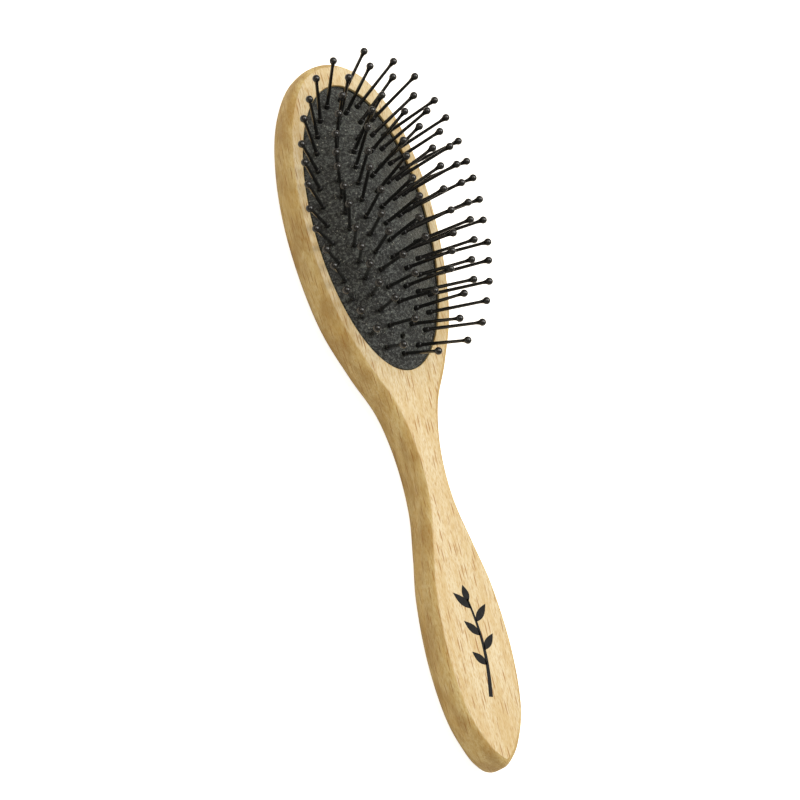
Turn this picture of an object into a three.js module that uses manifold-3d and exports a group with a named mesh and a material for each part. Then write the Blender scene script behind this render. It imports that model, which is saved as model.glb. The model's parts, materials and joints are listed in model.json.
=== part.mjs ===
// An oval cushion hairbrush, lying on its flat back with its pins standing up.
// Millimetres. X runs across the brush, Y along it with the head towards +Y, and Z points out of the pin side.
// The origin is the middle of the footprint, on the surface that the brush lies on.

import * as THREE from "three";
import { mergeVertices } from "three/addons/utils/BufferGeometryUtils.js";
import Module from "manifold-3d";

const wasm = await Module();
wasm.setup();

// ---- driving dimensions ----

// The wooden body is one flat blank with rounded edges.
const LENGTH = 219;
const THICKNESS = 15;
const FRONT_EDGE_RADIUS = 5;
const FRONT_EDGE_TURN = THREE.MathUtils.degToRad(55); // the front rounding stops here, and meets the face at an edge
const BACK_EDGE_RADIUS = 8;
const BACK_EDGE_HEIGHT = 9; // the back rounding reaches this far up the side
const EDGE_SHARE = 0.86; // an edge rounding takes at most this share of the half width

// Half of the body's outline, from the tip of the head to the end of the handle, as [x, y].
const HALF_OUTLINE = [
  [0, LENGTH / 2],
  [10.4, 105.7],
  [18.1, 94.5],
  [22.9, 77],
  [24.2, 54.5],
  [20.8, 28],
  [14.6, 11.5],
  [8.9, -0.5],
  [5.6, -15.5],
  [5.6, -29.5],
  [8.4, -43.5],
  [11.1, -56.5],
  [12.3, -76.5],
  [10.5, -93.5],
  [7.3, -101.9],
  [4.1, -106.7],
];
const HANDLE_END_Y = -LENGTH / 2;
const OUTLINE_POINTS = 84;

// The cushion's recess is an egg, a little fuller towards the head, milled into the front face.
const EGG = { centreY: 55.4, halfWidth: 19.8, halfLength: 45.8, fullness: 0.03 };
const LIP_DEPTH = 1.2; // from the front face down to the groove that holds the rubber
const GROOVE_REACH = 1.8; // how far the groove goes in under the lip
const GROOVE_HEIGHT = 2.4;
const LEDGE_REACH = 1.2; // the ledge under the rubber's flange
const POCKET_DEPTH = 8;
const EGG_POINTS = 36;

// The rubber cushion is an arched skin with a flange round it.
const FIT = 0.3; // the gap kept between neighbours
const RUBBER = 1.8;
const CROWN_HEIGHT = 9.3; // of the arch, above the flange
const ARCH_POWER = 1.25; // above 1 the arch leaves the flange softly
const ARCH_RINGS = 5;
const VENT_RADIUS = 1.0;

// A pin is a collar, a shaft and a teardrop tip. It is measured along its own axis from the rubber's outer face.
const PIN = {
  collarRadius: 0.75,
  collarTop: 1.6,
  shaftRadius: 0.53,
  shaftTop: 16.9,
  ballRadius: 1.15,
  ballMiddle: 19.4,
  tip: 20.65,
};
const PIN_SIDES = 5;
const PIN_LEAN = { across: 0.056, along: 0.0092, uprightY: 54.3 }; // slope of a pin for each millimetre off the middle

// The pins' feet are sewn to a backing tape under the rubber.
const TAPE = { depth: 2.85, width: 2.4, thickness: 0.7, overhang: 1.2 };

// The pins stand on three rings and a middle line. Each ring starts at the head end and runs round the left side.
// A ring's ends are drawn in by its taper: 0 makes an ellipse, and more makes it pointed like a leaf.
const OUTER_RING = { name: "outer", halfWidth: 15.8, halfLength: 40.6, centreY: 55.5, taper: 0, pins: 32 };
const MIDDLE_RING = { name: "middle", halfWidth: 10.7, halfLength: 35.8, centreY: 55.5, taper: 0.25, pins: 30 };
const INNER_RING = { name: "inner", halfWidth: 5.6, halfLength: 26, centreY: 55.5, taper: 0.1, pins: 20 };
const MIDDLE_LINE = { name: "centre", headY: 68.4, pitch: 5.2, pins: 6 };

// ---- materials ----

const wood = new THREE.MeshStandardMaterial({ color: 0xe2c48f, roughness: 0.55, metalness: 0 });
const rubber = new THREE.MeshStandardMaterial({ color: 0x2e2d2b, roughness: 0.85, metalness: 0 });
const pinPlastic = new THREE.MeshStandardMaterial({ color: 0x121212, roughness: 0.25, metalness: 0 });

// ---- solids ----

function toSolid(geometry) {
  const bare = new THREE.BufferGeometry();
  bare.setAttribute("position", geometry.getAttribute("position"));
  bare.setIndex(geometry.index);
  const merged = mergeVertices(bare, 1e-4);
  const vertProperties = new Float32Array(merged.getAttribute("position").array);
  const triVerts = new Uint32Array(merged.index.array);
  return new wasm.Manifold(new wasm.Mesh({ numProp: 3, vertProperties, triVerts }));
}

function toGeometry(solid) {
  const mesh = solid.getMesh();
  const geometry = new THREE.BufferGeometry();
  geometry.setAttribute("position", new THREE.BufferAttribute(new Float32Array(mesh.vertProperties), 3));
  geometry.setIndex(new THREE.BufferAttribute(new Uint32Array(mesh.triVerts), 1));
  geometry.computeVertexNormals();
  return geometry;
}

// Skins a stack of closed loops that all have the same number of points, and closes both ends.
// The loops run anticlockwise when seen from the last one.
function loft(loops) {
  const count = loops[0].length;
  const positions = loops.flat().flatMap((point) => [point.x, point.y, point.z]);
  const faces = [];
  for (let level = 0; level + 1 < loops.length; level++) {
    for (let i = 0; i < count; i++) {
      const next = (i + 1) % count;
      const [a, b] = [level * count + i, level * count + next];
      const [c, d] = [a + count, b + count];
      faces.push(a, b, d, a, d, c);
    }
  }
  const top = (loops.length - 1) * count;
  for (const [i, j, k] of capOf(loops[0])) {
    faces.push(k, j, i);
  }
  for (const [i, j, k] of capOf(loops[loops.length - 1])) {
    faces.push(top + i, top + j, top + k);
  }
  const geometry = new THREE.BufferGeometry();
  geometry.setAttribute("position", new THREE.Float32BufferAttribute(positions, 3));
  geometry.setIndex(faces);
  return geometry;
}

// The triangles of a loop's flat cap. A loop of four corners is too small to need more than two.
function capOf(loop) {
  if (loop.length === 4) {
    return [[0, 1, 2], [0, 2, 3]];
  }
  return THREE.ShapeUtils.triangulateShape(loop.map((p) => new THREE.Vector2(p.x, p.y)), []);
}

// ---- the body's outline ----

function outlinePoints() {
  const left = HALF_OUTLINE.map(([x, y]) => new THREE.Vector3(-x, y, 0));
  const handleEnd = new THREE.Vector3(0, HANDLE_END_Y, 0);
  const right = HALF_OUTLINE.slice(1).reverse().map(([x, y]) => new THREE.Vector3(x, y, 0));
  const curve = new THREE.CatmullRomCurve3([...left, handleEnd, ...right], true, "centripetal");
  return curve.getSpacedPoints(OUTLINE_POINTS).slice(0, OUTLINE_POINTS);
}

function inwardNormals(points) {
  return points.map((_, i) => {
    const before = points[(i + points.length - 1) % points.length];
    const after = points[(i + 1) % points.length];
    const along = after.clone().sub(before).normalize();
    return new THREE.Vector3(-along.y, along.x, 0);
  });
}

// The radius of the largest circle that fits inside the outline and touches it at point i.
function roomAt(points, normals, i) {
  let room = Infinity;
  for (const other of points) {
    const across = other.clone().sub(points[i]);
    const inward = across.dot(normals[i]);
    if (inward > 1e-6) {
      room = Math.min(room, across.lengthSq() / (2 * inward));
    }
  }
  return room;
}

// ---- the wooden body ----

function bodyBlank() {
  const points = outlinePoints();
  const normals = inwardNormals(points);
  const rooms = points.map((_, i) => roomAt(points, normals, i));
  // The outline at one height, moved inwards by a share of the edge rounding.
  const level = (z, edgeRadius, insetShare) =>
    points.map((point, i) => {
      const radius = Math.min(edgeRadius, EDGE_SHARE * rooms[i]);
      return point.clone().addScaledVector(normals[i], radius * insetShare).setZ(z);
    });
  const loops = [];
  const backSteps = 4;
  for (let step = 0; step <= backSteps; step++) {
    const angle = ((Math.PI / 2) * step) / backSteps;
    loops.push(level(BACK_EDGE_HEIGHT * (1 - Math.cos(angle)), BACK_EDGE_RADIUS, 1 - Math.sin(angle)));
  }
  const frontSteps = 3;
  for (let step = 0; step <= frontSteps; step++) {
    const angle = (FRONT_EDGE_TURN * step) / frontSteps;
    const z = THICKNESS - FRONT_EDGE_RADIUS * (Math.sin(FRONT_EDGE_TURN) - Math.sin(angle));
    loops.push(level(z, FRONT_EDGE_RADIUS, 1 - Math.cos(angle)));
  }
  return toSolid(loft(loops));
}

// The egg outline, grown outwards by a margin, at one height.
function eggLoop(margin, z, share = 1) {
  const loop = [];
  for (let i = 0; i < EGG_POINTS; i++) {
    const angle = (2 * Math.PI * i) / EGG_POINTS;
    loop.push(eggPoint(angle, margin, share).setZ(z));
  }
  return loop;
}

function eggPoint(angle, margin, share) {
  const halfWidth = (EGG.halfWidth + margin) * share * (1 + EGG.fullness * Math.cos(angle));
  const halfLength = (EGG.halfLength + margin) * share;
  return new THREE.Vector3(-halfWidth * Math.sin(angle), EGG.centreY + halfLength * Math.cos(angle), 0);
}

// The recess: an open mouth, a groove under its lip for the rubber's flange, and an air space behind.
function recessCutter() {
  const grooveTop = THICKNESS - LIP_DEPTH;
  const ledge = grooveTop - GROOVE_HEIGHT;
  const floor = THICKNESS - POCKET_DEPTH;
  return toSolid(
    loft([
      eggLoop(-LEDGE_REACH, floor),
      eggLoop(-LEDGE_REACH, ledge),
      eggLoop(GROOVE_REACH, ledge),
      eggLoop(GROOVE_REACH, grooveTop),
      eggLoop(0, grooveTop),
      eggLoop(0, THICKNESS + 1),
    ]),
  );
}

// ---- the rubber cushion ----

const FLANGE_TOP = THICKNESS - LIP_DEPTH - FIT;

// Where a point lies between the middle of the egg, 0, and its rim, 1.
function eggShare(x, y) {
  const down = (y - EGG.centreY) / EGG.halfLength;
  const across = x / (EGG.halfWidth * (1 + EGG.fullness * THREE.MathUtils.clamp(down, -1, 1)));
  return Math.hypot(across, down);
}

function archHeight(share) {
  return CROWN_HEIGHT * Math.max(1 - share * share, 0) ** ARCH_POWER;
}

function rubberTopAt(x, y) {
  return FLANGE_TOP + archHeight(eggShare(x, y));
}

// The arched skin, as loops from the crown's underside out to the flange and back to the crown's top.
function cushionSkin() {
  const shares = [];
  for (let ring = 1; ring <= ARCH_RINGS; ring++) {
    shares.push(ring / ARCH_RINGS);
  }
  const flange = GROOVE_REACH - FIT;
  const under = shares.map((share) => eggLoop(0, FLANGE_TOP - RUBBER + archHeight(share), share));
  const over = shares.map((share) => eggLoop(0, FLANGE_TOP + archHeight(share), share)).reverse();
  const rim = [eggLoop(flange, FLANGE_TOP - RUBBER), eggLoop(flange, FLANGE_TOP)];
  return toSolid(loft([...under, ...rim, ...over]));
}

// ---- the pins ----

// The points of a ring, evenly spaced along it.
function ringFeet(ring) {
  const steps = 72;
  const trace = Array.from({ length: steps + 1 }, (_, i) => {
    const angle = (2 * Math.PI * i) / steps;
    const across = Math.sin(angle) * Math.abs(Math.sin(angle)) ** ring.taper;
    return new THREE.Vector2(-ring.halfWidth * across, ring.centreY + ring.halfLength * Math.cos(angle));
  });
  return new THREE.SplineCurve(trace).getSpacedPoints(ring.pins).slice(0, ring.pins);
}

function lineFeet(line) {
  return Array.from({ length: line.pins }, (_, i) => new THREE.Vector2(0, line.headY - line.pitch * i));
}

function pinAt(foot) {
  const slope = new THREE.Vector3(PIN_LEAN.across * foot.x, PIN_LEAN.along * (foot.y - PIN_LEAN.uprightY), 1);
  return {
    foot: new THREE.Vector3(foot.x, foot.y, rubberTopAt(foot.x, foot.y)),
    direction: slope.normalize(),
  };
}

// A solid turned round a pin's axis, with its profile as [radius, distance along the pin].
function turnedOn(pin, profile) {
  const geometry = new THREE.LatheGeometry(
    profile.map(([radius, along]) => new THREE.Vector2(radius, along)),
    PIN_SIDES,
  );
  const turn = new THREE.Quaternion().setFromUnitVectors(new THREE.Vector3(0, 1, 0), pin.direction);
  geometry.applyQuaternion(turn);
  geometry.translate(pin.foot.x, pin.foot.y, pin.foot.z);
  return toSolid(geometry);
}

function pinSolid(pin) {
  return turnedOn(pin, [
    [0, -TAPE.depth],
    [PIN.collarRadius, -TAPE.depth],
    [PIN.collarRadius, PIN.collarTop],
    [PIN.shaftRadius, PIN.collarTop],
    [PIN.shaftRadius, PIN.shaftTop],
    [PIN.ballRadius, PIN.ballMiddle],
    [0, PIN.tip],
  ]);
}

// The hole that a pin or the air vent leaves in the rubber.
function holeCutter(pin, radius) {
  return turnedOn(pin, [
    [0, -RUBBER - 1],
    [radius, -RUBBER - 1],
    [radius, 1],
    [0, 1],
  ]);
}

// The tape under a run of pins, bent to follow their feet.
function tapeSolid(pins) {
  const middles = pins.map((pin) => pin.foot.clone().addScaledVector(pin.direction, -TAPE.depth));
  const loops = middles.map((middle, i) => {
    const before = middles[Math.max(i - 1, 0)];
    const after = middles[Math.min(i + 1, middles.length - 1)];
    const along = after.clone().sub(before).normalize();
    return tapeSection(middle, along, pins[i].direction);
  });
  const lead = (loop, from, to) => {
    const reach = from.clone().sub(to).setLength(TAPE.overhang);
    return loop.map((corner) => corner.clone().add(reach));
  };
  const last = middles.length - 1;
  const start = lead(loops[0], middles[0], middles[1]);
  const end = lead(loops[last], middles[last], middles[last - 1]);
  return toSolid(loft([start, ...loops, end]));
}

// The tape's four corners round one point, with its broad side square to the pin.
function tapeSection(middle, along, up) {
  const side = along.clone().cross(up).normalize();
  const lift = side.clone().cross(along).normalize();
  const corners = [[-1, -1], [-1, 1], [1, 1], [1, -1]];
  return corners.map(([s, l]) =>
    middle
      .clone()
      .addScaledVector(side, (s * TAPE.width) / 2)
      .addScaledVector(lift, (l * TAPE.thickness) / 2),
  );
}

// A lone pin stands on a short piece of tape that runs across the brush.
function patchSolid(pin) {
  const middle = pin.foot.clone().addScaledVector(pin.direction, -TAPE.depth);
  const along = new THREE.Vector3(1, 0, 0);
  const section = tapeSection(middle, along, pin.direction);
  const shifted = (distance) => section.map((corner) => corner.clone().addScaledVector(along, distance));
  return toSolid(loft([shifted(-TAPE.overhang), shifted(TAPE.overhang)]));
}

function runOfPins(feet) {
  const pins = feet.map(pinAt);
  const backing = pins.length > 1 ? tapeSolid(pins) : patchSolid(pins[0]);
  return pins.reduce((solid, pin) => solid.add(pinSolid(pin)), backing);
}

// Splits one side of a ring into runs of about equal length.
function runsOf(feet, runs) {
  const size = Math.ceil(feet.length / runs);
  return Array.from({ length: runs }, (_, i) => feet.slice(i * size, (i + 1) * size));
}

// ---- assembly ----

const brush = new THREE.Group();

function addPart(name, solid, material) {
  const mesh = new THREE.Mesh(toGeometry(solid), material);
  mesh.name = name;
  brush.add(mesh);
}

function addRing(ring, runs, hasHandleEndPin) {
  const feet = ringFeet(ring);
  const half = ring.pins / 2;
  addPart(`${ring.name}_pin_head_end`, runOfPins([feet[0]]), pinPlastic);
  if (hasHandleEndPin) {
    addPart(`${ring.name}_pin_handle_end`, runOfPins([feet[half]]), pinPlastic);
  }
  const sides = { left: feet.slice(1, half), right: feet.slice(half + 1).reverse() };
  for (const [side, sideFeet] of Object.entries(sides)) {
    runsOf(sideFeet, runs).forEach((run, i) => {
      addPart(`${ring.name}_pins_${side}_${i + 1}`, runOfPins(run), pinPlastic);
    });
  }
}

const rings = [OUTER_RING, MIDDLE_RING, INNER_RING];
const ventFoot = ringFeet(MIDDLE_RING)[MIDDLE_RING.pins / 2];
const pinFeet = [...rings.flatMap(ringFeet), ...lineFeet(MIDDLE_LINE)];
const holes = pinFeet.map((foot) =>
  holeCutter(pinAt(foot), foot.distanceTo(ventFoot) < 1 ? VENT_RADIUS : PIN.collarRadius + FIT),
);

addPart("brush_body", bodyBlank().subtract(recessCutter()), wood);
addPart("rubber_cushion", holes.reduce((skin, hole) => skin.subtract(hole), cushionSkin()), rubber);
addRing(OUTER_RING, 3, true);
addRing(MIDDLE_RING, 3, false);
addRing(INNER_RING, 2, true);
addPart("centre_pins", runOfPins(lineFeet(MIDDLE_LINE)), pinPlastic);

export default brush;
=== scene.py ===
"""An oval cushion hairbrush lying on its back: a beech body, an arched rubber cushion and 87 nylon pins.

Lengths are in millimetres until make_piece() turns them into metres. X runs across the brush, Y along it with
the head towards +Y, and Z points out of the pin side.
"""

import json
import math
import random

import bmesh
import bpy
import numpy as np
from mathutils import Matrix, Vector
from mathutils.geometry import delaunay_2d_cdt


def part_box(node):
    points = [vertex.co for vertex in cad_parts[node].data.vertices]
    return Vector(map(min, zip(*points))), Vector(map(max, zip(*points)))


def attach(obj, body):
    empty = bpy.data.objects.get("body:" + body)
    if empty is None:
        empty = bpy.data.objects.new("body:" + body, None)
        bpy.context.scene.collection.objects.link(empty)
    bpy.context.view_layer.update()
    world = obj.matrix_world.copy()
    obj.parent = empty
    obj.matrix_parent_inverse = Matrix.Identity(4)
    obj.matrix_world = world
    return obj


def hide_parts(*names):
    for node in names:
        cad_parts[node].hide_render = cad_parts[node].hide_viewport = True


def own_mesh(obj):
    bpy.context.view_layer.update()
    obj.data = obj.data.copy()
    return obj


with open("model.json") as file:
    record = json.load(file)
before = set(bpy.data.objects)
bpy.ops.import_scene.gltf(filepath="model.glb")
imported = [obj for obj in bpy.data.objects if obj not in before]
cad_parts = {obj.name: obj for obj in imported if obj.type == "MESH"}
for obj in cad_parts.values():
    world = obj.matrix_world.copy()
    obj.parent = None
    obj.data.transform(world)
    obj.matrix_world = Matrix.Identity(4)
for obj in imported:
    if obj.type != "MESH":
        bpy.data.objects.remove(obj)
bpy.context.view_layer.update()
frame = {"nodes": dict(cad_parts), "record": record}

MM = 0.001
body_low, body_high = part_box("brush_body")
LENGTH = (body_high.y - body_low.y) / MM
THICKNESS = body_high.z / MM


# ---- camera ----


def direction_of(azimuth, elevation):
    """The unit vector from the object towards a viewer. Azimuth 0 looks along +Y."""
    a, e = math.radians(azimuth), math.radians(elevation)
    return Vector((math.sin(a) * math.cos(e), -math.cos(a) * math.cos(e), math.sin(e)))


def add_camera(target, azimuth, elevation, roll, distance, lens):
    """A camera at a distance from the target, both in millimetres, turned about its own axis by the roll."""
    camera = bpy.data.objects.new("camera", bpy.data.cameras.new("camera"))
    bpy.context.scene.collection.objects.link(camera)
    bpy.context.scene.camera = camera
    camera.data.lens = lens
    camera.data.sensor_width = 36
    camera.data.clip_start, camera.data.clip_end = 0.01, 20
    back = direction_of(azimuth, elevation)
    side = Vector((0, 0, 1)).cross(back).normalized()
    level_up = back.cross(side)
    angle = math.radians(roll)
    up = level_up * math.cos(angle) + side * math.sin(angle)
    right = up.cross(back)
    turn = Matrix((right, up, back)).transposed().to_4x4()
    camera.matrix_world = Matrix.Translation(Vector(target) * MM + back * distance * MM) @ turn


add_camera(target=(-2.2, 2.3, 10), azimuth=-62.13, elevation=53.89, roll=-52.71, distance=887.6, lens=137.2)


# ---- driving dimensions ----

# Half of the body's outline, from the tip of the head to the end of the handle.
HALF_OUTLINE = [
    (0, LENGTH / 2),
    (10.4, 105.7),
    (18.1, 94.5),
    (22.9, 77),
    (24.2, 54.5),
    (20.8, 28),
    (14.6, 11.5),
    (8.9, -0.5),
    (5.6, -15.5),
    (5.6, -29.5),
    (8.4, -43.5),
    (11.1, -56.5),
    (12.3, -76.5),
    (10.5, -93.5),
    (7.3, -101.9),
    (4.1, -106.7),
]
OUTLINE_POINTS = 420
OUTLINE_SMOOTHING = 9  # points to each side over which the room for a rounding is evened out
FRONT_EDGE_RADIUS = 5
FRONT_EDGE_TURN = math.radians(55)  # the front rounding stops here, and meets the face at an edge
FACE_EDGE_SOFTENING = 0.22
BACK_EDGE_RADIUS = 8
BACK_EDGE_HEIGHT = 9
EDGE_SHARE = 0.86  # an edge rounding takes at most this share of the half width
EDGE_BLEND = 6  # how sharply a rounding gives way where the body is narrow
BACK_EDGE_STEPS = 17
FRONT_EDGE_STEPS = 14
BACK_GRID = 4.0  # the spacing of the mesh that fills each flat face
FACE_GRID = 2.2
POCKET_GRID = 5.0

# The recess in the front face is an egg, a little fuller towards the head.
EGG_CENTRE_Y = 55.4
EGG_HALF_WIDTH = 19.8
EGG_HALF_LENGTH = 45.8
EGG_FULLNESS = 0.03
EGG_POINTS = 200
LIP_DEPTH = 1.2
LIP_ROUNDING = 0.25
GROOVE_REACH = 1.8
GROOVE_HEIGHT = 2.4
LEDGE_REACH = 1.2
POCKET_DEPTH = 8

# The rubber cushion is an arched skin, held by a flange in the groove.
FIT = 0.3  # the gap between the flange and its groove
RUBBER_THICKNESS = 1.8
CROWN_HEIGHT = 9.3
ARCH_POWER = 1.25  # above 1, the arch runs out softly at its rim
FLANGE_TOP = THICKNESS - LIP_DEPTH - FIT
VENT_RADIUS = 0.9
VENT_SIDES = 28
VENT_LIP_HEIGHT = 0.25
VENT_LIP_OFFSET = 0.45
VENT_LIP_WIDTH = 0.35
EDGE_RISE = 0.8  # the rubber bulges by this much just inside the mouth of the recess
# Between the wood and the bulge, a thin bead stands against the wall and a groove runs inside it.
# Each step is [distance in from the wall, height above the flange].
EDGE_BEAD = [(0.05, 0), (0.05, 0.75), (0.13, 0.8), (0.25, 0.1), (0.5, 0.1)]
EDGE_START = 0.8  # how far in from the wall the groove has risen to the bulge
# The rubber dips round each pin's collar, and a low ring runs round the dip.
DIMPLE_DEPTH = 0.32
DIMPLE_RADIUS = 1.15
LIP_RING_RADIUS = 1.6
LIP_RING_HEIGHT = 0.09
LIP_RING_WIDTH = 0.3
RUBBER_GRID = 0.38
RUBBER_UNDER_GRID = 1.6
RUBBER_RIM_POINTS = 560

# A pin, measured along its own axis from the rubber's outer face.
COLLAR_RADIUS = 0.75
COLLAR_TOP = 1.6
COLLAR_ROUNDING = 0.1
SHAFT_BASE_RADIUS = 0.56
SHAFT_TIP_RADIUS = 0.49
SHAFT_TOP = 16.8
BALL_RADIUS = 1.13
BALL_MIDDLE = 19.45
BALL_STEPS = 13
PIN_HEAD_RADIUS = 1.05
PIN_HEAD_DEPTH = 2.5
PIN_HEAD_THICKNESS = 0.5
PIN_HEAD_TAPER = 0.2
PIN_SIDES = 20
# A pin's slope grows with its foot's distance from the middle line, and along the brush from UPRIGHT_Y.
LEAN_ACROSS = 0.056
LEAN_ALONG = 0.0092
UPRIGHT_Y = 54.3
LEAN_WOBBLE = 0.035
LENGTH_WOBBLE = 0.15
WOBBLE_SEED = 14

# The rings of pins, each starting at the head end and running round the left side. A taper makes a ring's
# ends more pointed. Each side of a ring is cut into runs of pins, which are the CAD nodes.
RING_CENTRE_Y = 55.5
RINGS = {
    "outer": {"half_width": 15.8, "half_length": 40.6, "taper": 0, "pins": 32, "runs": 3},
    "middle": {"half_width": 10.7, "half_length": 35.8, "taper": 0.25, "pins": 30, "runs": 3},
    "inner": {"half_width": 5.6, "half_length": 26, "taper": 0.1, "pins": 20, "runs": 2},
}
RING_STEPS = 720  # how finely a ring is drawn before the pins are spaced along it
LINE_HEAD_Y = 68.4
LINE_PITCH = 5.2
LINE_PINS = 6


# ---- shading helpers ----

# Where a Mix node keeps its colours.
COLOUR_A, COLOUR_B, COLOUR_OUT = 6, 7, 2


class Shading:
    """One material's node tree, built around its Principled shader."""

    def __init__(self, name):
        self.material = bpy.data.materials.new(name)
        self.material.use_nodes = True
        self.nodes = self.material.node_tree.nodes
        self.links = self.material.node_tree.links
        self.surface = self.nodes["Principled BSDF"]

    def add(self, kind, inputs, **settings):
        """Adds a node. An input is a number, a vector or another node's output."""
        node = self.nodes.new("ShaderNode" + kind)
        for key, value in settings.items():
            setattr(node, key, value)
        for key, value in inputs.items():
            self.feed(node.inputs[key], value)
        return node

    def feed(self, socket, value):
        if isinstance(value, bpy.types.NodeSocket):
            self.links.new(value, socket)
        else:
            socket.default_value = value

    def set(self, **values):
        """Sets the Principled shader's inputs, each named in lower case with underscores."""
        for key, value in values.items():
            self.feed(self.surface.inputs[key.replace("_", " ").title().replace("Ior", "IOR")], value)

    def place(self):
        """The point in the row frame, in millimetres."""
        metres = self.add("TexCoord", {}).outputs["Object"]
        return self.add("VectorMath", {0: metres, "Scale": 1 / MM}, operation="SCALE").outputs[0]

    def divided(self, vector, sizes):
        return self.add("VectorMath", {0: vector, 1: sizes}, operation="DIVIDE").outputs[0]

    def moved(self, vector, offset):
        return self.add("VectorMath", {0: vector, 1: offset}, operation="ADD").outputs[0]

    def noise(self, vector, sizes, detail=2.0, roughness=0.5):
        """Noise whose blotches have about these sizes, in millimetres."""
        scaled = self.divided(vector, sizes)
        inputs = {"Vector": scaled, "Scale": 1.0, "Detail": detail, "Roughness": roughness}
        return self.add("TexNoise", inputs).outputs["Fac"]

    def cells(self, vector, sizes, **settings):
        """The distance to the middle of the nearest cell, and that cell's own random colour."""
        node = self.add("TexVoronoi", {"Vector": self.divided(vector, sizes), "Scale": 1.0}, **settings)
        return node.outputs["Distance"], node.outputs["Color"]

    def math(self, operation, a, b=0.0):
        return self.add("Math", {0: a, 1: b}, operation=operation).outputs[0]

    def fade(self, value, low, high, to_low=0.0, to_high=1.0):
        """Maps low..high to to_low..to_high, with soft ends."""
        inputs = {"Value": value, "From Min": low, "From Max": high, "To Min": to_low, "To Max": to_high}
        return self.add("MapRange", inputs, interpolation_type="SMOOTHSTEP").outputs["Result"]

    def mix(self, share, a, b, blend="MIX"):
        node = self.add("Mix", {0: share}, data_type="RGBA", blend_type=blend)
        for index, colour in ((COLOUR_A, a), (COLOUR_B, b)):
            linked = isinstance(colour, bpy.types.NodeSocket)
            self.feed(node.inputs[index], colour if linked else (*colour, 1))
        return node.outputs[COLOUR_OUT]

    def bump(self, height, depth_mm, strength=1.0):
        inputs = {"Height": height, "Distance": depth_mm * MM, "Strength": strength}
        return self.add("Bump", inputs).outputs["Normal"]


# ---- materials ----

BEECH_PALE = (0.70, 0.60, 0.39)
BEECH_WARM = (0.60, 0.45, 0.22)
BEECH_FIBRE = (0.51, 0.32, 0.105)
BEECH_RAY = (0.36, 0.165, 0.035)
# Painted shade on the sides: where the surface turns away from facing up, the colour is multiplied darker and
# warmer than the face, in cloudy patches.
SIDE_SHADE_LIGHT = (1.0, 0.95, 0.73)
SIDE_SHADE_DEEP = (0.77, 0.66, 0.44)
HALF_SHIFT = 150.0

RUBBER_DARK = (0.002, 0.0025, 0.0023)
RUBBER_GREY = (0.085, 0.096, 0.087)
RUBBER_DUST = (0.5, 0.51, 0.44)

NYLON_DARK = (0.002, 0.002, 0.002)
NYLON_GREY = (0.008, 0.008, 0.008)

INK_BLACK = (0.005, 0.005, 0.005)
INK_WORN = (0.03, 0.023, 0.015)


def flecks(shading, sheet, across, along, radius, share):
    """Short dark rays that lie along the grain: the middles of stretched cells, of which a share shows."""
    distance, colour = shading.cells(sheet, (across, along, 1), voronoi_dimensions="2D")
    spot = shading.fade(distance, radius * 0.5, radius, 1.0, 0.0)
    chance = shading.add("SeparateColor", {"Color": colour}).outputs["Red"]
    shown = shading.fade(chance, 1 - share, 1 - share * 0.4)
    return shading.math("MULTIPLY", spot, shown)


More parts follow.
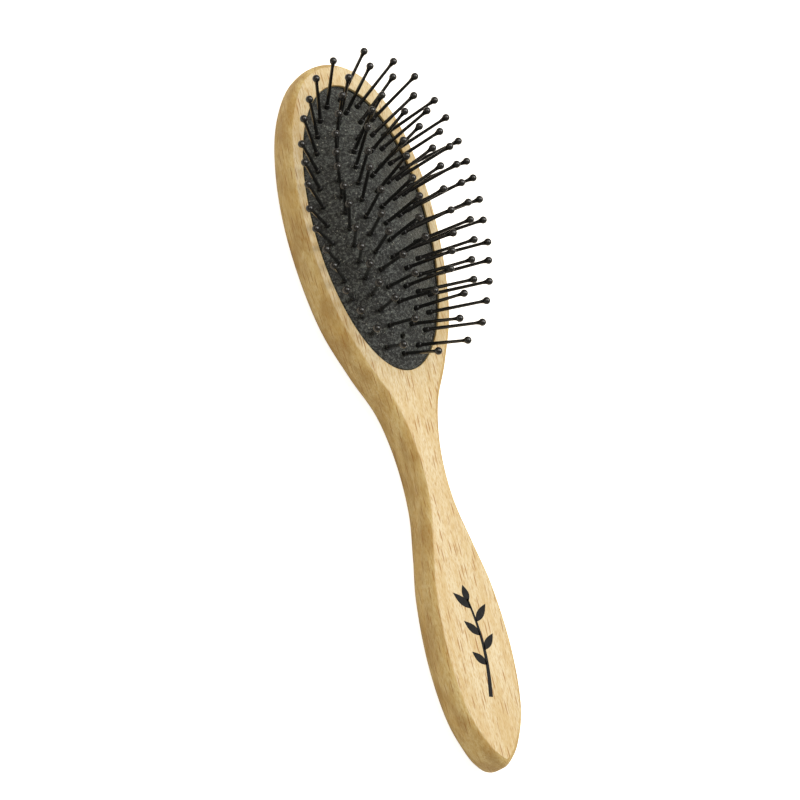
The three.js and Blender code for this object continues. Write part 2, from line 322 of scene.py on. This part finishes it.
def make_beech():
    """Steamed beech with a thin satin lacquer. The grain runs along Y."""
    shading = Shading("beech")
    place = shading.place()
    # The grain wanders a little sideways along the brush.
    sway = shading.noise(place, (60, 45, 60), detail=1.0)
    sideways = shading.math("MULTIPLY", shading.math("SUBTRACT", sway, 0.5), 3.0)
    grain = shading.moved(place, shading.add("CombineXYZ", {"X": sideways}).outputs[0])
    broad = shading.noise(grain, (5, 30, 5), detail=2.0)
    bands = shading.noise(grain, (0.8, 9, 1.2), detail=3.0, roughness=0.6)
    fibre = shading.noise(grain, (0.34, 1.9, 0.34), detail=4.0, roughness=0.7)
    # The rays are laid out on a sheet that is folded over the brush, so that they show on face and sides.
    parts = shading.add("SeparateXYZ", {"Vector": grain}).outputs
    folded = shading.math("SUBTRACT", shading.math("ABSOLUTE", parts["X"]), parts["Z"])
    # The two halves of the sheet use different stretches of it, so that they don't mirror each other.
    which_half = shading.math("SIGN", parts["X"])
    shifted = shading.math("ADD", parts["Y"], shading.math("MULTIPLY", which_half, HALF_SHIFT))
    sheet = shading.add("CombineXYZ", {"X": folded, "Y": shifted}).outputs[0]
    long_rays = flecks(shading, sheet, 1.05, 14, 0.2, 0.75)
    short_rays = flecks(shading, sheet, 0.85, 5.0, 0.18, 0.6)
    broad_part = shading.math("MULTIPLY", broad, 0.55)
    band_part = shading.math("MULTIPLY", bands, 0.45)
    tone = shading.math("ADD", broad_part, band_part)
    colour = shading.mix(shading.fade(tone, 0.36, 0.66), BEECH_PALE, BEECH_WARM)
    colour = shading.mix(shading.fade(fibre, 0.42, 0.66, 0.0, 0.7), colour, BEECH_FIBRE)
    long_part = shading.math("MULTIPLY", long_rays, 0.85)
    short_part = shading.math("MULTIPLY", short_rays, 0.5)
    rays = shading.math("MAXIMUM", long_part, short_part)
    normal = shading.add("TexCoord", {}).outputs["Normal"]
    facing = shading.add("SeparateXYZ", {"Vector": normal}).outputs["Z"]
    # Painted shade: the sides, found by their normal turning away from +Z, are multiplied darker and warmer
    # in cloudy patches.
    side_shade_clouds = shading.noise(grain, (6, 15, 6), detail=3.0)
    painted_side_shade = shading.mix(shading.fade(side_shade_clouds, 0.4, 0.62), SIDE_SHADE_LIGHT, SIDE_SHADE_DEEP)
    side_shade_mask = shading.fade(facing, 0.78, 0.98, 1.0, 0.0)
    colour = shading.mix(side_shade_mask, colour, painted_side_shade, blend="MULTIPLY")
    colour = shading.mix(rays, colour, BEECH_RAY)
    shading.set(base_color=colour, specular_ior_level=0.3)
    gloss = shading.noise(place, (6, 18, 6), detail=3.0)
    shading.set(roughness=shading.fade(gloss, 0.3, 0.7, 0.45, 0.58))
    relief = shading.math("SUBTRACT", shading.math("MULTIPLY", fibre, 0.35), rays)
    shading.set(normal=shading.bump(relief, 0.06, 0.7))
    return shading.material


def make_rubber():
    """Black natural rubber with a coarse matt grain and a little dust in it."""
    shading = Shading("black_rubber")
    place = shading.place()
    coarse = shading.noise(place, (0.9, 0.9, 0.9), detail=2.0, roughness=0.6)
    fine = shading.noise(place, (0.36, 0.36, 0.36), detail=2.0, roughness=0.7)
    patches = shading.noise(place, (7, 7, 7), detail=2.0)
    grain = shading.math("MULTIPLY", shading.math("ADD", coarse, fine), 0.5)
    specks, tint = shading.cells(place, (0.55, 0.55, 0.55))
    chance = shading.add("SeparateColor", {"Color": tint}).outputs["Red"]
    dot = shading.fade(specks, 0.25, 0.45, 1.0, 0.0)
    spot = shading.math("MULTIPLY", dot, shading.fade(chance, 0.8, 0.95))
    dust = shading.math("MULTIPLY", spot, shading.fade(patches, 0.42, 0.62, 0.2, 1.0))
    colour = shading.mix(shading.fade(grain, 0.47, 0.62), RUBBER_DARK, RUBBER_GREY)
    colour = shading.mix(shading.math("MULTIPLY", dust, 0.6), colour, RUBBER_DUST)
    shading.set(base_color=colour, specular_ior_level=0.5)
    shading.set(sheen_weight=0.45, sheen_roughness=0.4, sheen_tint=(0.9, 0.94, 0.85, 1))
    shading.set(roughness=shading.fade(grain, 0.35, 0.65, 0.75, 0.4))
    shading.set(normal=shading.bump(grain, 0.5, 1.0))
    return shading.material


def make_pin_plastic():
    """Glossy black nylon with the faint flow marks of its mould."""
    shading = Shading("black_nylon")
    place = shading.place()
    flow = shading.noise(place, (0.9, 0.9, 2.6), detail=3.0)
    shading.set(base_color=shading.mix(flow, NYLON_DARK, NYLON_GREY))
    shading.set(roughness=shading.fade(flow, 0.3, 0.7, 0.05, 0.12), specular_ior_level=0.6)
    shading.set(normal=shading.bump(flow, 0.02, 0.5))
    return shading.material


def make_ink():
    """Black pad-printed ink that lets a little of the wood's grain through."""
    shading = Shading("black_ink")
    place = shading.place()
    wear = shading.noise(place, (0.3, 1.4, 0.3), detail=3.0)
    colour = shading.mix(shading.fade(wear, 0.55, 0.85, 0.0, 0.4), INK_BLACK, INK_WORN)
    shading.set(base_color=colour, specular_ior_level=0.15)
    shading.set(roughness=shading.fade(wear, 0.3, 0.7, 0.5, 0.65))
    return shading.material


BEECH = make_beech()
RUBBER_SKIN = make_rubber()
NYLON = make_pin_plastic()
INK = make_ink()


# ---- mesh helpers ----


class Shell:
    """Vertices and faces of one piece, in millimetres. Loops run anticlockwise when seen from +Z."""

    def __init__(self):
        self.points = []
        self.faces = []

    def add_points(self, points):
        first = len(self.points)
        self.points.extend(tuple(float(v) for v in point) for point in points)
        return list(range(first, len(self.points)))

    def skin(self, loops):
        """Joins a stack of loops with the same number of points. The outside is on their right, going up."""
        rows = [self.add_points(loop) for loop in loops]
        for low, high in zip(rows, rows[1:]):
            for i in range(len(low)):
                after = (i + 1) % len(low)
                self.faces.append((low[i], low[after], high[after], high[i]))

    def fill(self, outer, holes, spacing, height, facing_up=True):
        """Fills the space between flat loops with small triangles, at the height that height(x, y) gives."""
        flat, triangles = triangulate(outer, holes, spacing)
        row = self.add_points([(x, y, height(x, y)) for x, y in flat])
        for a, b, c in triangles:
            self.faces.append((row[a], row[b], row[c]) if facing_up else (row[c], row[b], row[a]))


def inside(points, loop):
    """Which of the points lie inside a flat loop."""
    starts = np.asarray(loop)
    ends = np.roll(starts, -1, axis=0)
    rise = ends[:, 1] - starts[:, 1]
    rise[rise == 0] = 1e-12  # a level side is never crossed, but mustn't divide by zero
    found = []
    for x, y in points:
        spans = (starts[:, 1] > y) != (ends[:, 1] > y)
        crossing = starts[spans, 0] + (y - starts[spans, 1]) / rise[spans] * (ends - starts)[spans, 0]
        found.append(np.count_nonzero(crossing > x) % 2 == 1)
    return np.array(found)


def triangulate(outer, holes, spacing):
    """Points and anticlockwise triangles that fill the space between the outer loop and its holes."""
    loops = [np.asarray(loop)[:, :2] for loop in (outer, *holes)]
    edges = []
    first = 0
    for loop in loops:
        edges += [(first + i, first + (i + 1) % len(loop)) for i in range(len(loop))]
        first += len(loop)
    rim = np.concatenate(loops)
    low, high = loops[0].min(axis=0), loops[0].max(axis=0)
    row_gap = spacing * math.sqrt(3) / 2
    grid = np.array([
        (x + spacing / 2 * (row % 2), y)
        for row, y in enumerate(np.arange(low[1], high[1], row_gap))
        for x in np.arange(low[0], high[0], spacing)
    ])
    keep = inside(grid, loops[0])
    for hole in loops[1:]:
        keep &= ~inside(grid, hole)
    grid = grid[keep]
    # Points that stand close to the rim would make thin triangles.
    gaps = np.array([((rim - point) ** 2).sum(axis=1).min() for point in grid])
    grid = grid[gaps > (0.6 * spacing) ** 2]
    seeds = [Vector(point) for point in np.concatenate([rim, grid])]
    points, _, triangles, *_ = delaunay_2d_cdt(seeds, edges, [], 0, 1e-7)
    flat = np.array(points)
    corners = flat[np.array(triangles)]
    middles = corners.mean(axis=1)
    keep = inside(middles, loops[0])
    for hole in loops[1:]:
        keep &= ~inside(middles, hole)
    sides = corners[:, 1:] - corners[:, :1]
    turn = sides[:, 0, 0] * sides[:, 1, 1] - sides[:, 0, 1] * sides[:, 1, 0]
    ordered = [t if anticlockwise else t[::-1] for t, anticlockwise in zip(triangles, turn > 0)]
    return flat, [t for t, kept in zip(ordered, keep) if kept]


def make_piece(name, shell, material, crease_degrees=40):
    """Turns a shell into a smooth-shaded object in metres, with shared points joined."""
    mesh = bpy.data.meshes.new(name)
    mesh.from_pydata([[v * MM for v in point] for point in shell.points], [], shell.faces)
    mesh.materials.append(material)
    mesh.polygons.foreach_set("use_smooth", [True] * len(shell.faces))
    piece = bpy.data.objects.new(name, mesh)
    bpy.context.scene.collection.objects.link(piece)
    weld(mesh)
    mesh.set_sharp_from_angle(angle=math.radians(crease_degrees))
    return piece


def weld(mesh, gap=1e-6):
    """Joins the points that lie together, where one loop or fill meets the next."""
    edit = bmesh.new()
    edit.from_mesh(mesh)
    bmesh.ops.remove_doubles(edit, verts=edit.verts, dist=gap)
    edit.to_mesh(mesh)
    edit.free()


# ---- the wooden body ----


def closed_curve(knots, count, steps=24):
    """Evenly spaced points on a closed centripetal Catmull-Rom curve through the knots."""
    dense = []
    total = len(knots)
    for i in range(total):
        p = [np.array(knots[(i + k - 1) % total], float) for k in range(4)]
        d = [math.sqrt(math.dist(p[k], p[k + 1])) for k in range(3)]
        leave = ((p[1] - p[0]) / d[0] - (p[2] - p[0]) / (d[0] + d[1]) + (p[2] - p[1]) / d[1]) * d[1]
        arrive = ((p[2] - p[1]) / d[1] - (p[3] - p[1]) / (d[1] + d[2]) + (p[3] - p[2]) / d[2]) * d[1]
        for step in range(steps):
            t = step / steps
            dense.append(
                (2 * t**3 - 3 * t**2 + 1) * p[1]
                + (t**3 - 2 * t**2 + t) * leave
                + (3 * t**2 - 2 * t**3) * p[2]
                + (t**3 - t**2) * arrive
            )
    return evenly_spaced(np.array(dense), count)


def evenly_spaced(loop, count):
    """Resamples a closed line at equal distances along it."""
    closed = np.vstack([loop, loop[:1]])
    lengths = np.concatenate([[0], np.cumsum(np.linalg.norm(np.diff(closed, axis=0), axis=1))])
    wanted = np.linspace(0, lengths[-1], count, endpoint=False)
    return np.column_stack([np.interp(wanted, lengths, closed[:, k]) for k in range(2)])


def body_outline():
    """The whole outline, anticlockwise from the tip of the head."""
    left = [(-x, y) for x, y in HALF_OUTLINE]
    right = [(x, y) for x, y in reversed(HALF_OUTLINE[1:])]
    return closed_curve([*left, (0, -LENGTH / 2), *right], OUTLINE_POINTS)


def inward_normals(points):
    """The unit vector at each point of an anticlockwise loop that points to its inside."""
    along = np.roll(points, -1, axis=0) - np.roll(points, 1, axis=0)
    along /= np.linalg.norm(along, axis=1)[:, None]
    return np.column_stack([-along[:, 1], along[:, 0]])


def room_inside(points, normals):
    """The radius of the largest circle inside the outline that touches it at each point."""
    near = OUTLINE_SMOOTHING
    rooms = []
    for point, normal in zip(points, normals):
        across = points - point
        inward = across @ normal
        ahead = inward > 1e-6
        rooms.append(((across[ahead] ** 2).sum(axis=1) / (2 * inward[ahead])).min())
    wrapped = np.concatenate([rooms[-near:], rooms, rooms[:near]])
    window = np.ones(2 * near + 1) / (2 * near + 1)
    return np.convolve(wrapped, window, mode="valid")


def rounding(radius, rooms):
    """An edge rounding of that radius, less where the outline has no room for it."""
    return (radius**-EDGE_BLEND + (EDGE_SHARE * rooms) ** -EDGE_BLEND) ** (-1 / EDGE_BLEND)


def egg_loop(margin, z, count=EGG_POINTS):
    """The outline of the recess at height z, made larger all round by the margin."""
    angles = np.linspace(0, 2 * math.pi, count, endpoint=False)
    half_width = (EGG_HALF_WIDTH + margin) * (1 + EGG_FULLNESS * np.cos(angles))
    half_length = EGG_HALF_LENGTH + margin
    x = -half_width * np.sin(angles)
    y = EGG_CENTRE_Y + half_length * np.cos(angles)
    return np.column_stack([x, y, np.full(count, z)])


def make_body():
    """The wooden body: its flat back, rounded edges and face, and the recess for the cushion."""
    shell = Shell()
    points = body_outline()
    normals = inward_normals(points)
    rooms = room_inside(points, normals)
    back_radii = rounding(BACK_EDGE_RADIUS, rooms)
    front_radii = rounding(FRONT_EDGE_RADIUS, rooms)

    def level(z, radii, share):
        """The outline at height z, moved inwards by a share of each point's rounding."""
        return np.column_stack([points + normals * (radii * share)[:, None], np.full(len(points), z)])

    loops = []
    for angle in np.linspace(0, math.pi / 2, BACK_EDGE_STEPS):
        loops.append(level(BACK_EDGE_HEIGHT * (1 - math.cos(angle)), back_radii, 1 - math.sin(angle)))
    for angle in np.linspace(0, FRONT_EDGE_TURN, FRONT_EDGE_STEPS):
        z = THICKNESS - FRONT_EDGE_RADIUS * (math.sin(FRONT_EDGE_TURN) - math.sin(angle))
        loops.append(level(z, front_radii, 1 - math.cos(angle)))
    face_rim = loops[-1].copy()
    face_rim[:, :2] += normals * FACE_EDGE_SOFTENING
    loops.append(face_rim)
    shell.skin(loops)
    shell.fill(loops[0], [], BACK_GRID, lambda x, y: 0.0, facing_up=False)

    mouth = egg_loop(LIP_ROUNDING, THICKNESS)
    shell.fill(loops[-1], [mouth], FACE_GRID, lambda x, y: THICKNESS)
    lip = [mouth]
    for angle in np.linspace(0, math.pi / 2, 6)[1:]:
        margin = LIP_ROUNDING * (1 - math.sin(angle))
        lip.append(egg_loop(margin, THICKNESS - LIP_ROUNDING * (1 - math.cos(angle))))
    shell.skin(lip)
    groove_top = THICKNESS - LIP_DEPTH
    ledge = groove_top - GROOVE_HEIGHT
    floor = THICKNESS - POCKET_DEPTH
    recess = [
        lip[-1],
        egg_loop(0, groove_top),
        egg_loop(GROOVE_REACH, groove_top),
        egg_loop(GROOVE_REACH, ledge),
        egg_loop(-LEDGE_REACH, ledge),
        egg_loop(-LEDGE_REACH, floor),
    ]
    shell.skin(recess)
    shell.fill(recess[-1], [], POCKET_GRID, lambda x, y: floor)
    return make_piece("beech_body", shell, BEECH)


# ---- where the pins stand ----


def ring_feet(ring):
    """The points of a ring, evenly spaced along it."""
    angles = np.linspace(0, 2 * math.pi, RING_STEPS, endpoint=False)
    across = np.sin(angles) * np.abs(np.sin(angles)) ** ring["taper"]
    x = -ring["half_width"] * across
    y = RING_CENTRE_Y + ring["half_length"] * np.cos(angles)
    return evenly_spaced(np.column_stack([x, y]), ring["pins"])


def pin_places():
    """(piece name, CAD node, x, y) of every pin. A place without a node is left out: the vent is there."""
    places = []
    for name, ring in RINGS.items():
        feet = ring_feet(ring)
        half = ring["pins"] // 2
        run_length = math.ceil((half - 1) / ring["runs"])
        for i, (x, y) in enumerate(feet):
            from_head = min(i, ring["pins"] - i)
            side = "left" if i < half else "right"
            if i == 0:
                node = f"{name}_pin_head_end"
            elif i == half:
                node = f"{name}_pin_handle_end"
            else:
                node = f"{name}_pins_{side}_{(from_head - 1) // run_length + 1}"
            if node in frame["nodes"]:
                places.append((f"{name}_pin_{i + 1:02d}", node, x, y))
    for i in range(LINE_PINS):
        places.append((f"centre_pin_{i + 1:02d}", "centre_pins", 0.0, LINE_HEAD_Y - LINE_PITCH * i))
    return places


PIN_PLACES = pin_places()
PIN_FEET = np.array([(x, y) for _, _, x, y in PIN_PLACES])
VENT = ring_feet(RINGS["middle"])[RINGS["middle"]["pins"] // 2]


# ---- the rubber cushion ----


def egg_square(x, y):
    """The square of a point's distance from the egg's middle, which is 1 on its outline."""
    along = (y - EGG_CENTRE_Y) / EGG_HALF_LENGTH
    across = x / (EGG_HALF_WIDTH * (1 + EGG_FULLNESS * max(-1.0, min(along, 1.0))))
    return along**2 + across**2


def arch_height(x, y):
    """The height of the plain arch above the flange."""
    return CROWN_HEIGHT * max(1 - egg_square(x, y), 0) ** ARCH_POWER


def edge_rise(x, y):
    """The bulge of the rubber inside the mouth of the recess, which dies away towards the crown."""
    return EDGE_RISE * min(egg_square(x, y), 1.0) ** 5


def foot_relief(x, y):
    """The dimple and the raised ring round each foot, and the lip round the vent."""
    gaps = np.hypot(PIN_FEET[:, 0] - x, PIN_FEET[:, 1] - y)
    gap = gaps.min()
    dimple = -DIMPLE_DEPTH * math.exp(-((gap / DIMPLE_RADIUS) ** 4))
    ring = LIP_RING_HEIGHT * math.exp(-(((gap - LIP_RING_RADIUS) / LIP_RING_WIDTH) ** 2))
    from_vent_lip = math.dist((x, y), VENT) - VENT_RADIUS - VENT_LIP_OFFSET
    lip = VENT_LIP_HEIGHT * math.exp(-((from_vent_lip / VENT_LIP_WIDTH) ** 2))
    return dimple + ring + lip


def rubber_top(x, y):
    """The height of the rubber's outer face."""
    return FLANGE_TOP + arch_height(x, y) + edge_rise(x, y) + foot_relief(x, y)


def rubber_under(x, y):
    """The height of the rubber's inner face."""
    return FLANGE_TOP - RUBBER_THICKNESS + arch_height(x, y)


def make_cushion():
    """The arched skin, with its bead and groove along the wood, its flange and its vent."""
    shell = Shell()
    rim = egg_loop(0, FLANGE_TOP, count=RUBBER_RIM_POINTS)
    turns = np.linspace(0, 2 * math.pi, VENT_SIDES, endpoint=False)
    vent = np.column_stack([VENT[0] + VENT_RADIUS * np.cos(turns), VENT[1] + VENT_RADIUS * np.sin(turns)])
    edge = [rim]
    for inset, height in EDGE_BEAD:
        edge.append(egg_loop(-inset, FLANGE_TOP + height, count=RUBBER_RIM_POINTS))
    groove_inset, groove_height = EDGE_BEAD[-1]
    low = FLANGE_TOP + groove_height
    for angle in np.linspace(0, math.pi / 2, 5)[1:]:
        inset = EDGE_START - (EDGE_START - groove_inset) * math.cos(angle)
        loop = egg_loop(-inset, 0, count=RUBBER_RIM_POINTS)
        loop[:, 2] = [low + (rubber_top(x, y) - low) * math.sin(angle) for x, y, _ in loop]
        edge.append(loop)
    shell.skin(edge)
    shell.fill(edge[-1], [vent], RUBBER_GRID, rubber_top)
    shell.fill(rim, [vent], RUBBER_UNDER_GRID, rubber_under, facing_up=False)
    vent_top = [(x, y, rubber_top(x, y)) for x, y in vent]
    vent_under = [(x, y, rubber_under(x, y)) for x, y in vent]
    shell.skin([vent_top, vent_under])
    flange = GROOVE_REACH - FIT
    shell.skin([
        egg_loop(0, FLANGE_TOP - RUBBER_THICKNESS, count=RUBBER_RIM_POINTS),
        egg_loop(flange, FLANGE_TOP - RUBBER_THICKNESS, count=RUBBER_RIM_POINTS),
        egg_loop(flange, FLANGE_TOP, count=RUBBER_RIM_POINTS),
        rim,
    ])
    return make_piece("arched_cushion", shell, RUBBER_SKIN, crease_degrees=60)


# ---- the pins ----


def pin_profile():
    """[radius, distance along the pin] from the hidden flat head to the tip."""
    profile = [
        (0, -PIN_HEAD_DEPTH),
        (PIN_HEAD_RADIUS, -PIN_HEAD_DEPTH),
        (PIN_HEAD_RADIUS, PIN_HEAD_THICKNESS - PIN_HEAD_DEPTH),
        (COLLAR_RADIUS, PIN_HEAD_THICKNESS + PIN_HEAD_TAPER - PIN_HEAD_DEPTH),
    ]
    for angle in np.linspace(0, math.pi / 2, 5):
        profile.append((
            COLLAR_RADIUS - COLLAR_ROUNDING * (1 - math.cos(angle)),
            COLLAR_TOP - COLLAR_ROUNDING * (1 - math.sin(angle)),
        ))
    # A small fillet lies between the collar and the shaft.
    profile.append((SHAFT_BASE_RADIUS + 0.05, COLLAR_TOP + 0.02))
    profile.append((SHAFT_BASE_RADIUS, COLLAR_TOP + 0.25))
    for share in (0.33, 0.67, 1.0):
        radius = SHAFT_BASE_RADIUS + (SHAFT_TIP_RADIUS - SHAFT_BASE_RADIUS) * share
        profile.append((radius, COLLAR_TOP + (SHAFT_TOP - COLLAR_TOP) * share))
    # The neck flares from the shaft into the ball, and meets it 45 degrees below its middle.
    meet = math.radians(135)
    meet_radius, meet_along = BALL_RADIUS * math.sin(meet), BALL_MIDDLE + BALL_RADIUS * math.cos(meet)
    for t in (0.25, 0.5, 0.75):
        along = SHAFT_TOP + (meet_along - SHAFT_TOP) * t
        profile.append((SHAFT_TIP_RADIUS + (meet_radius - SHAFT_TIP_RADIUS) * t**2.2, along))
    for angle in np.linspace(meet, 0, BALL_STEPS)[:-1]:
        profile.append((BALL_RADIUS * math.sin(angle), BALL_MIDDLE + BALL_RADIUS * math.cos(angle)))
    profile.append((0, BALL_MIDDLE + BALL_RADIUS))
    return profile


def make_pin_mesh():
    """One pin standing at the origin along +Z."""
    shell = Shell()
    profile = pin_profile()
    turns = np.linspace(0, 2 * math.pi, PIN_SIDES, endpoint=False)
    loops = [[(r * math.cos(a), r * math.sin(a), along) for a in turns] for r, along in profile[1:-1]]
    shell.skin(loops)
    rows = len(loops)
    foot, tip = shell.add_points([(0, 0, profile[0][1]), (0, 0, profile[-1][1])])
    last = (rows - 1) * PIN_SIDES
    for i in range(PIN_SIDES):
        after = (i + 1) % PIN_SIDES
        shell.faces.append((foot, after, i))
        shell.faces.append((tip, last + i, last + after))
    piece = make_piece("pin", shell, NYLON, crease_degrees=50)
    mesh = piece.data
    bpy.data.objects.remove(piece)
    return mesh


def make_pins():
    """Every pin as its own piece, each with a slightly different lean and length."""
    rng = random.Random(WOBBLE_SEED)
    mesh = make_pin_mesh()
    bodies = frame["record"]["behaviour"]["bodies"]
    body_of = {node: body for body, nodes in bodies.items() for node in nodes}
    for name, node, x, y in PIN_PLACES:
        slope = Vector((
            LEAN_ACROSS * x + rng.gauss(0, LEAN_WOBBLE),
            LEAN_ALONG * (y - UPRIGHT_Y) + rng.gauss(0, LEAN_WOBBLE),
            1,
        )).normalized()
        foot = Vector((x, y, FLANGE_TOP + arch_height(x, y)))
        foot += slope * rng.uniform(-LENGTH_WOBBLE, LENGTH_WOBBLE)
        turn = slope.to_track_quat("Z", "Y").to_matrix().to_4x4()
        spin = Matrix.Rotation(rng.uniform(0, 2 * math.pi), 4, "Z")
        pin = bpy.data.objects.new(name, mesh)
        bpy.context.scene.collection.objects.link(pin)
        pin.matrix_world = Matrix.Translation(foot * MM) @ turn @ spin
        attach(pin, body_of[node])
        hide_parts(node)


# ---- the printed sprig ----

SPRIG_TOP_Y = -60.5
SPRIG_LENGTH = 29
SPRIG_STROKE = 1.3
LEAF_PLACES = (0.1, 0.24, 0.38, 0.53, 0.68)  # shares of the stem's length, from its tip
LEAF_SPREAD = 42  # degrees from the stem
LEAF_LENGTH = 7.0
LEAF_SHORTENING = 0.3  # from one leaf to the next
LEAF_WIDTH = 2.5
LEAF_GRID = 0.8
INK_DEPTH = 0.02
INK_HEIGHT = 0.03


def stem_point(t):
    """The stem, from its tip at 0 to its foot at 1: a soft S."""
    return Vector((2.2 * math.sin(2.6 * t + 0.35) - 0.6, SPRIG_TOP_Y - SPRIG_LENGTH * t))


def leaf_outline(start, angle, length, width):
    """A pointed leaf that starts at its stalk and points along the angle."""
    along = Vector((math.cos(angle), math.sin(angle)))
    across = Vector((-along.y, along.x))
    shares = np.linspace(0, 1, 17)
    bulge = [math.sin(math.pi * s) ** 0.9 * (1.15 - 0.45 * s) for s in shares]
    low = [start + along * length * s - across * width / 2 * b for s, b in zip(shares, bulge)]
    high = [start + along * length * s + across * width / 2 * b for s, b in zip(shares, bulge)]
    return low + high[-2:0:-1]


def stroke_outline(points, widths):
    """The outline of a line of varying width, with square ends."""
    left, right = [], []
    for i, (point, width) in enumerate(zip(points, widths)):
        along = (points[min(i + 1, len(points) - 1)] - points[max(i - 1, 0)]).normalized()
        across = Vector((-along.y, along.x))
        left.append(point - across * width / 2)
        right.append(point + across * width / 2)
    return left + right[::-1]


def make_sprig():
    """A generic leaf sprig, printed in black on the handle's face."""
    shell = Shell()
    shares = np.linspace(0.0, 1.0, 33)
    stem = [stem_point(t) for t in shares]
    shapes = [stroke_outline(stem, [SPRIG_STROKE * (0.45 + 0.55 * t) for t in shares])]
    for i, t in enumerate(LEAF_PLACES):
        side = 1 if i % 2 else -1
        angle = math.radians(90 - side * LEAF_SPREAD)
        shapes.append(leaf_outline(stem_point(t), angle, LEAF_LENGTH - LEAF_SHORTENING * i, LEAF_WIDTH))
    # One more leaf stands on the stem's tip.
    shapes.append(leaf_outline(stem_point(0.03), math.radians(97), 5.2, 2.4))
    base, top = THICKNESS - INK_DEPTH, THICKNESS + INK_HEIGHT
    for outline in shapes:
        loop = [(p.x, p.y, base) for p in outline]
        raised = [(p.x, p.y, top) for p in outline]
        shell.skin([loop, raised])
        shell.fill(raised, [], LEAF_GRID, lambda x, y: top)
        shell.fill(loop, [], LEAF_GRID, lambda x, y: base, facing_up=False)
    return make_piece("printed_sprig", shell, INK)


# ---- floor, light ----

FLOOR_HALF_WIDTH = 4.0  # in metres, as are the lamps' distances and sizes
FLOOR_GLOW = 0.85
FLOOR_LEVEL = 0.02 * MM  # just above the flat back, so that light from below still reaches it

ROOM_LIGHT = 0.35
ROOM_TINT = (1, 0.92, 0.8, 1)
WHITE = (1, 1, 1, 1)

LAMP_WHITE = (1, 0.99, 0.97)
LAMP_GOLD = (1, 0.82, 0.56)
# name: (azimuth, elevation, distance, size, watts, colour)
SOFTBOXES = {
    "key": (100, 62, 1.2, 0.8, 11.5, LAMP_WHITE),
    "top": (-160, 70, 1.3, 0.9, 5, LAMP_WHITE),
    "left_fill": (-100, 55, 1.2, 0.5, 1.6, LAMP_GOLD),
}


def make_floor():
    half = FLOOR_HALF_WIDTH
    mesh = bpy.data.meshes.new("floor")
    corners = [(-half, -half), (half, -half), (half, half), (-half, half)]
    mesh.from_pydata([(x, y, FLOOR_LEVEL) for x, y in corners], [], [(0, 1, 2, 3)])
    floor = bpy.data.objects.new("floor", mesh)
    bpy.context.scene.collection.objects.link(floor)
    shading = Shading("pale_floor")
    shading.set(base_color=(0.8, 0.76, 0.69, 1), roughness=0.9, specular_ior_level=0.1)
    # The floor looks paler than the light that it throws back on the brush, so its shadows stay faint.
    seen = shading.add("LightPath", {}).outputs["Is Camera Ray"]
    shading.set(emission_color=WHITE, emission_strength=shading.math("MULTIPLY", seen, FLOOR_GLOW))
    # Seen from below, the floor is clear, so that the back of the brush shows.
    below = shading.add("NewGeometry", {}).outputs["Backfacing"]
    clear = shading.add("BsdfTransparent", {}).outputs[0]
    both = shading.add("MixShader", {0: below, 1: shading.surface.outputs[0], 2: clear}).outputs[0]
    shading.feed(shading.nodes["Material Output"].inputs["Surface"], both)
    mesh.materials.append(shading.material)


def add_softbox(name, azimuth, elevation, distance, size, watts, colour):
    """A square lamp that faces the middle of the brush."""
    light = bpy.data.lights.new(name, "AREA")
    light.shape = "SQUARE"
    light.size = size
    light.energy = watts
    light.color = colour
    lamp = bpy.data.objects.new(name, light)
    bpy.context.scene.collection.objects.link(lamp)
    away = direction_of(azimuth, elevation)
    turn = away.to_track_quat("Z", "Y").to_matrix().to_4x4()
    lamp.matrix_world = Matrix.Translation(away * distance) @ turn


def light_room():
    """A pale room: white to the eye, with a softer light of its own than it looks."""
    world = bpy.data.worlds.new("room")
    bpy.context.scene.world = world
    world.use_nodes = True
    nodes, links = world.node_tree.nodes, world.node_tree.links
    seen = nodes.new("ShaderNodeLightPath").outputs["Is Camera Ray"]
    strength = nodes.new("ShaderNodeMapRange")
    strength.inputs["To Min"].default_value = ROOM_LIGHT
    strength.inputs["To Max"].default_value = 1.0
    links.new(seen, strength.inputs["Value"])
    tint = nodes.new("ShaderNodeMix")
    tint.data_type = "RGBA"
    links.new(seen, tint.inputs[0])
    tint.inputs[COLOUR_A].default_value = ROOM_TINT
    tint.inputs[COLOUR_B].default_value = WHITE
    links.new(tint.outputs[COLOUR_OUT], nodes["Background"].inputs["Color"])
    links.new(strength.outputs["Result"], nodes["Background"].inputs["Strength"])
    for name, settings in SOFTBOXES.items():
        add_softbox(name, *settings)
    bpy.context.scene.view_settings.view_transform = "Standard"


# ---- assembly ----

body = make_body()
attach(body, "root")
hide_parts("brush_body")

sprig = make_sprig()
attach(sprig, "root")

cushion = make_cushion()
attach(cushion, "root")
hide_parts("rubber_cushion")
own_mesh(cushion)

make_pins()
make_floor()
light_room()
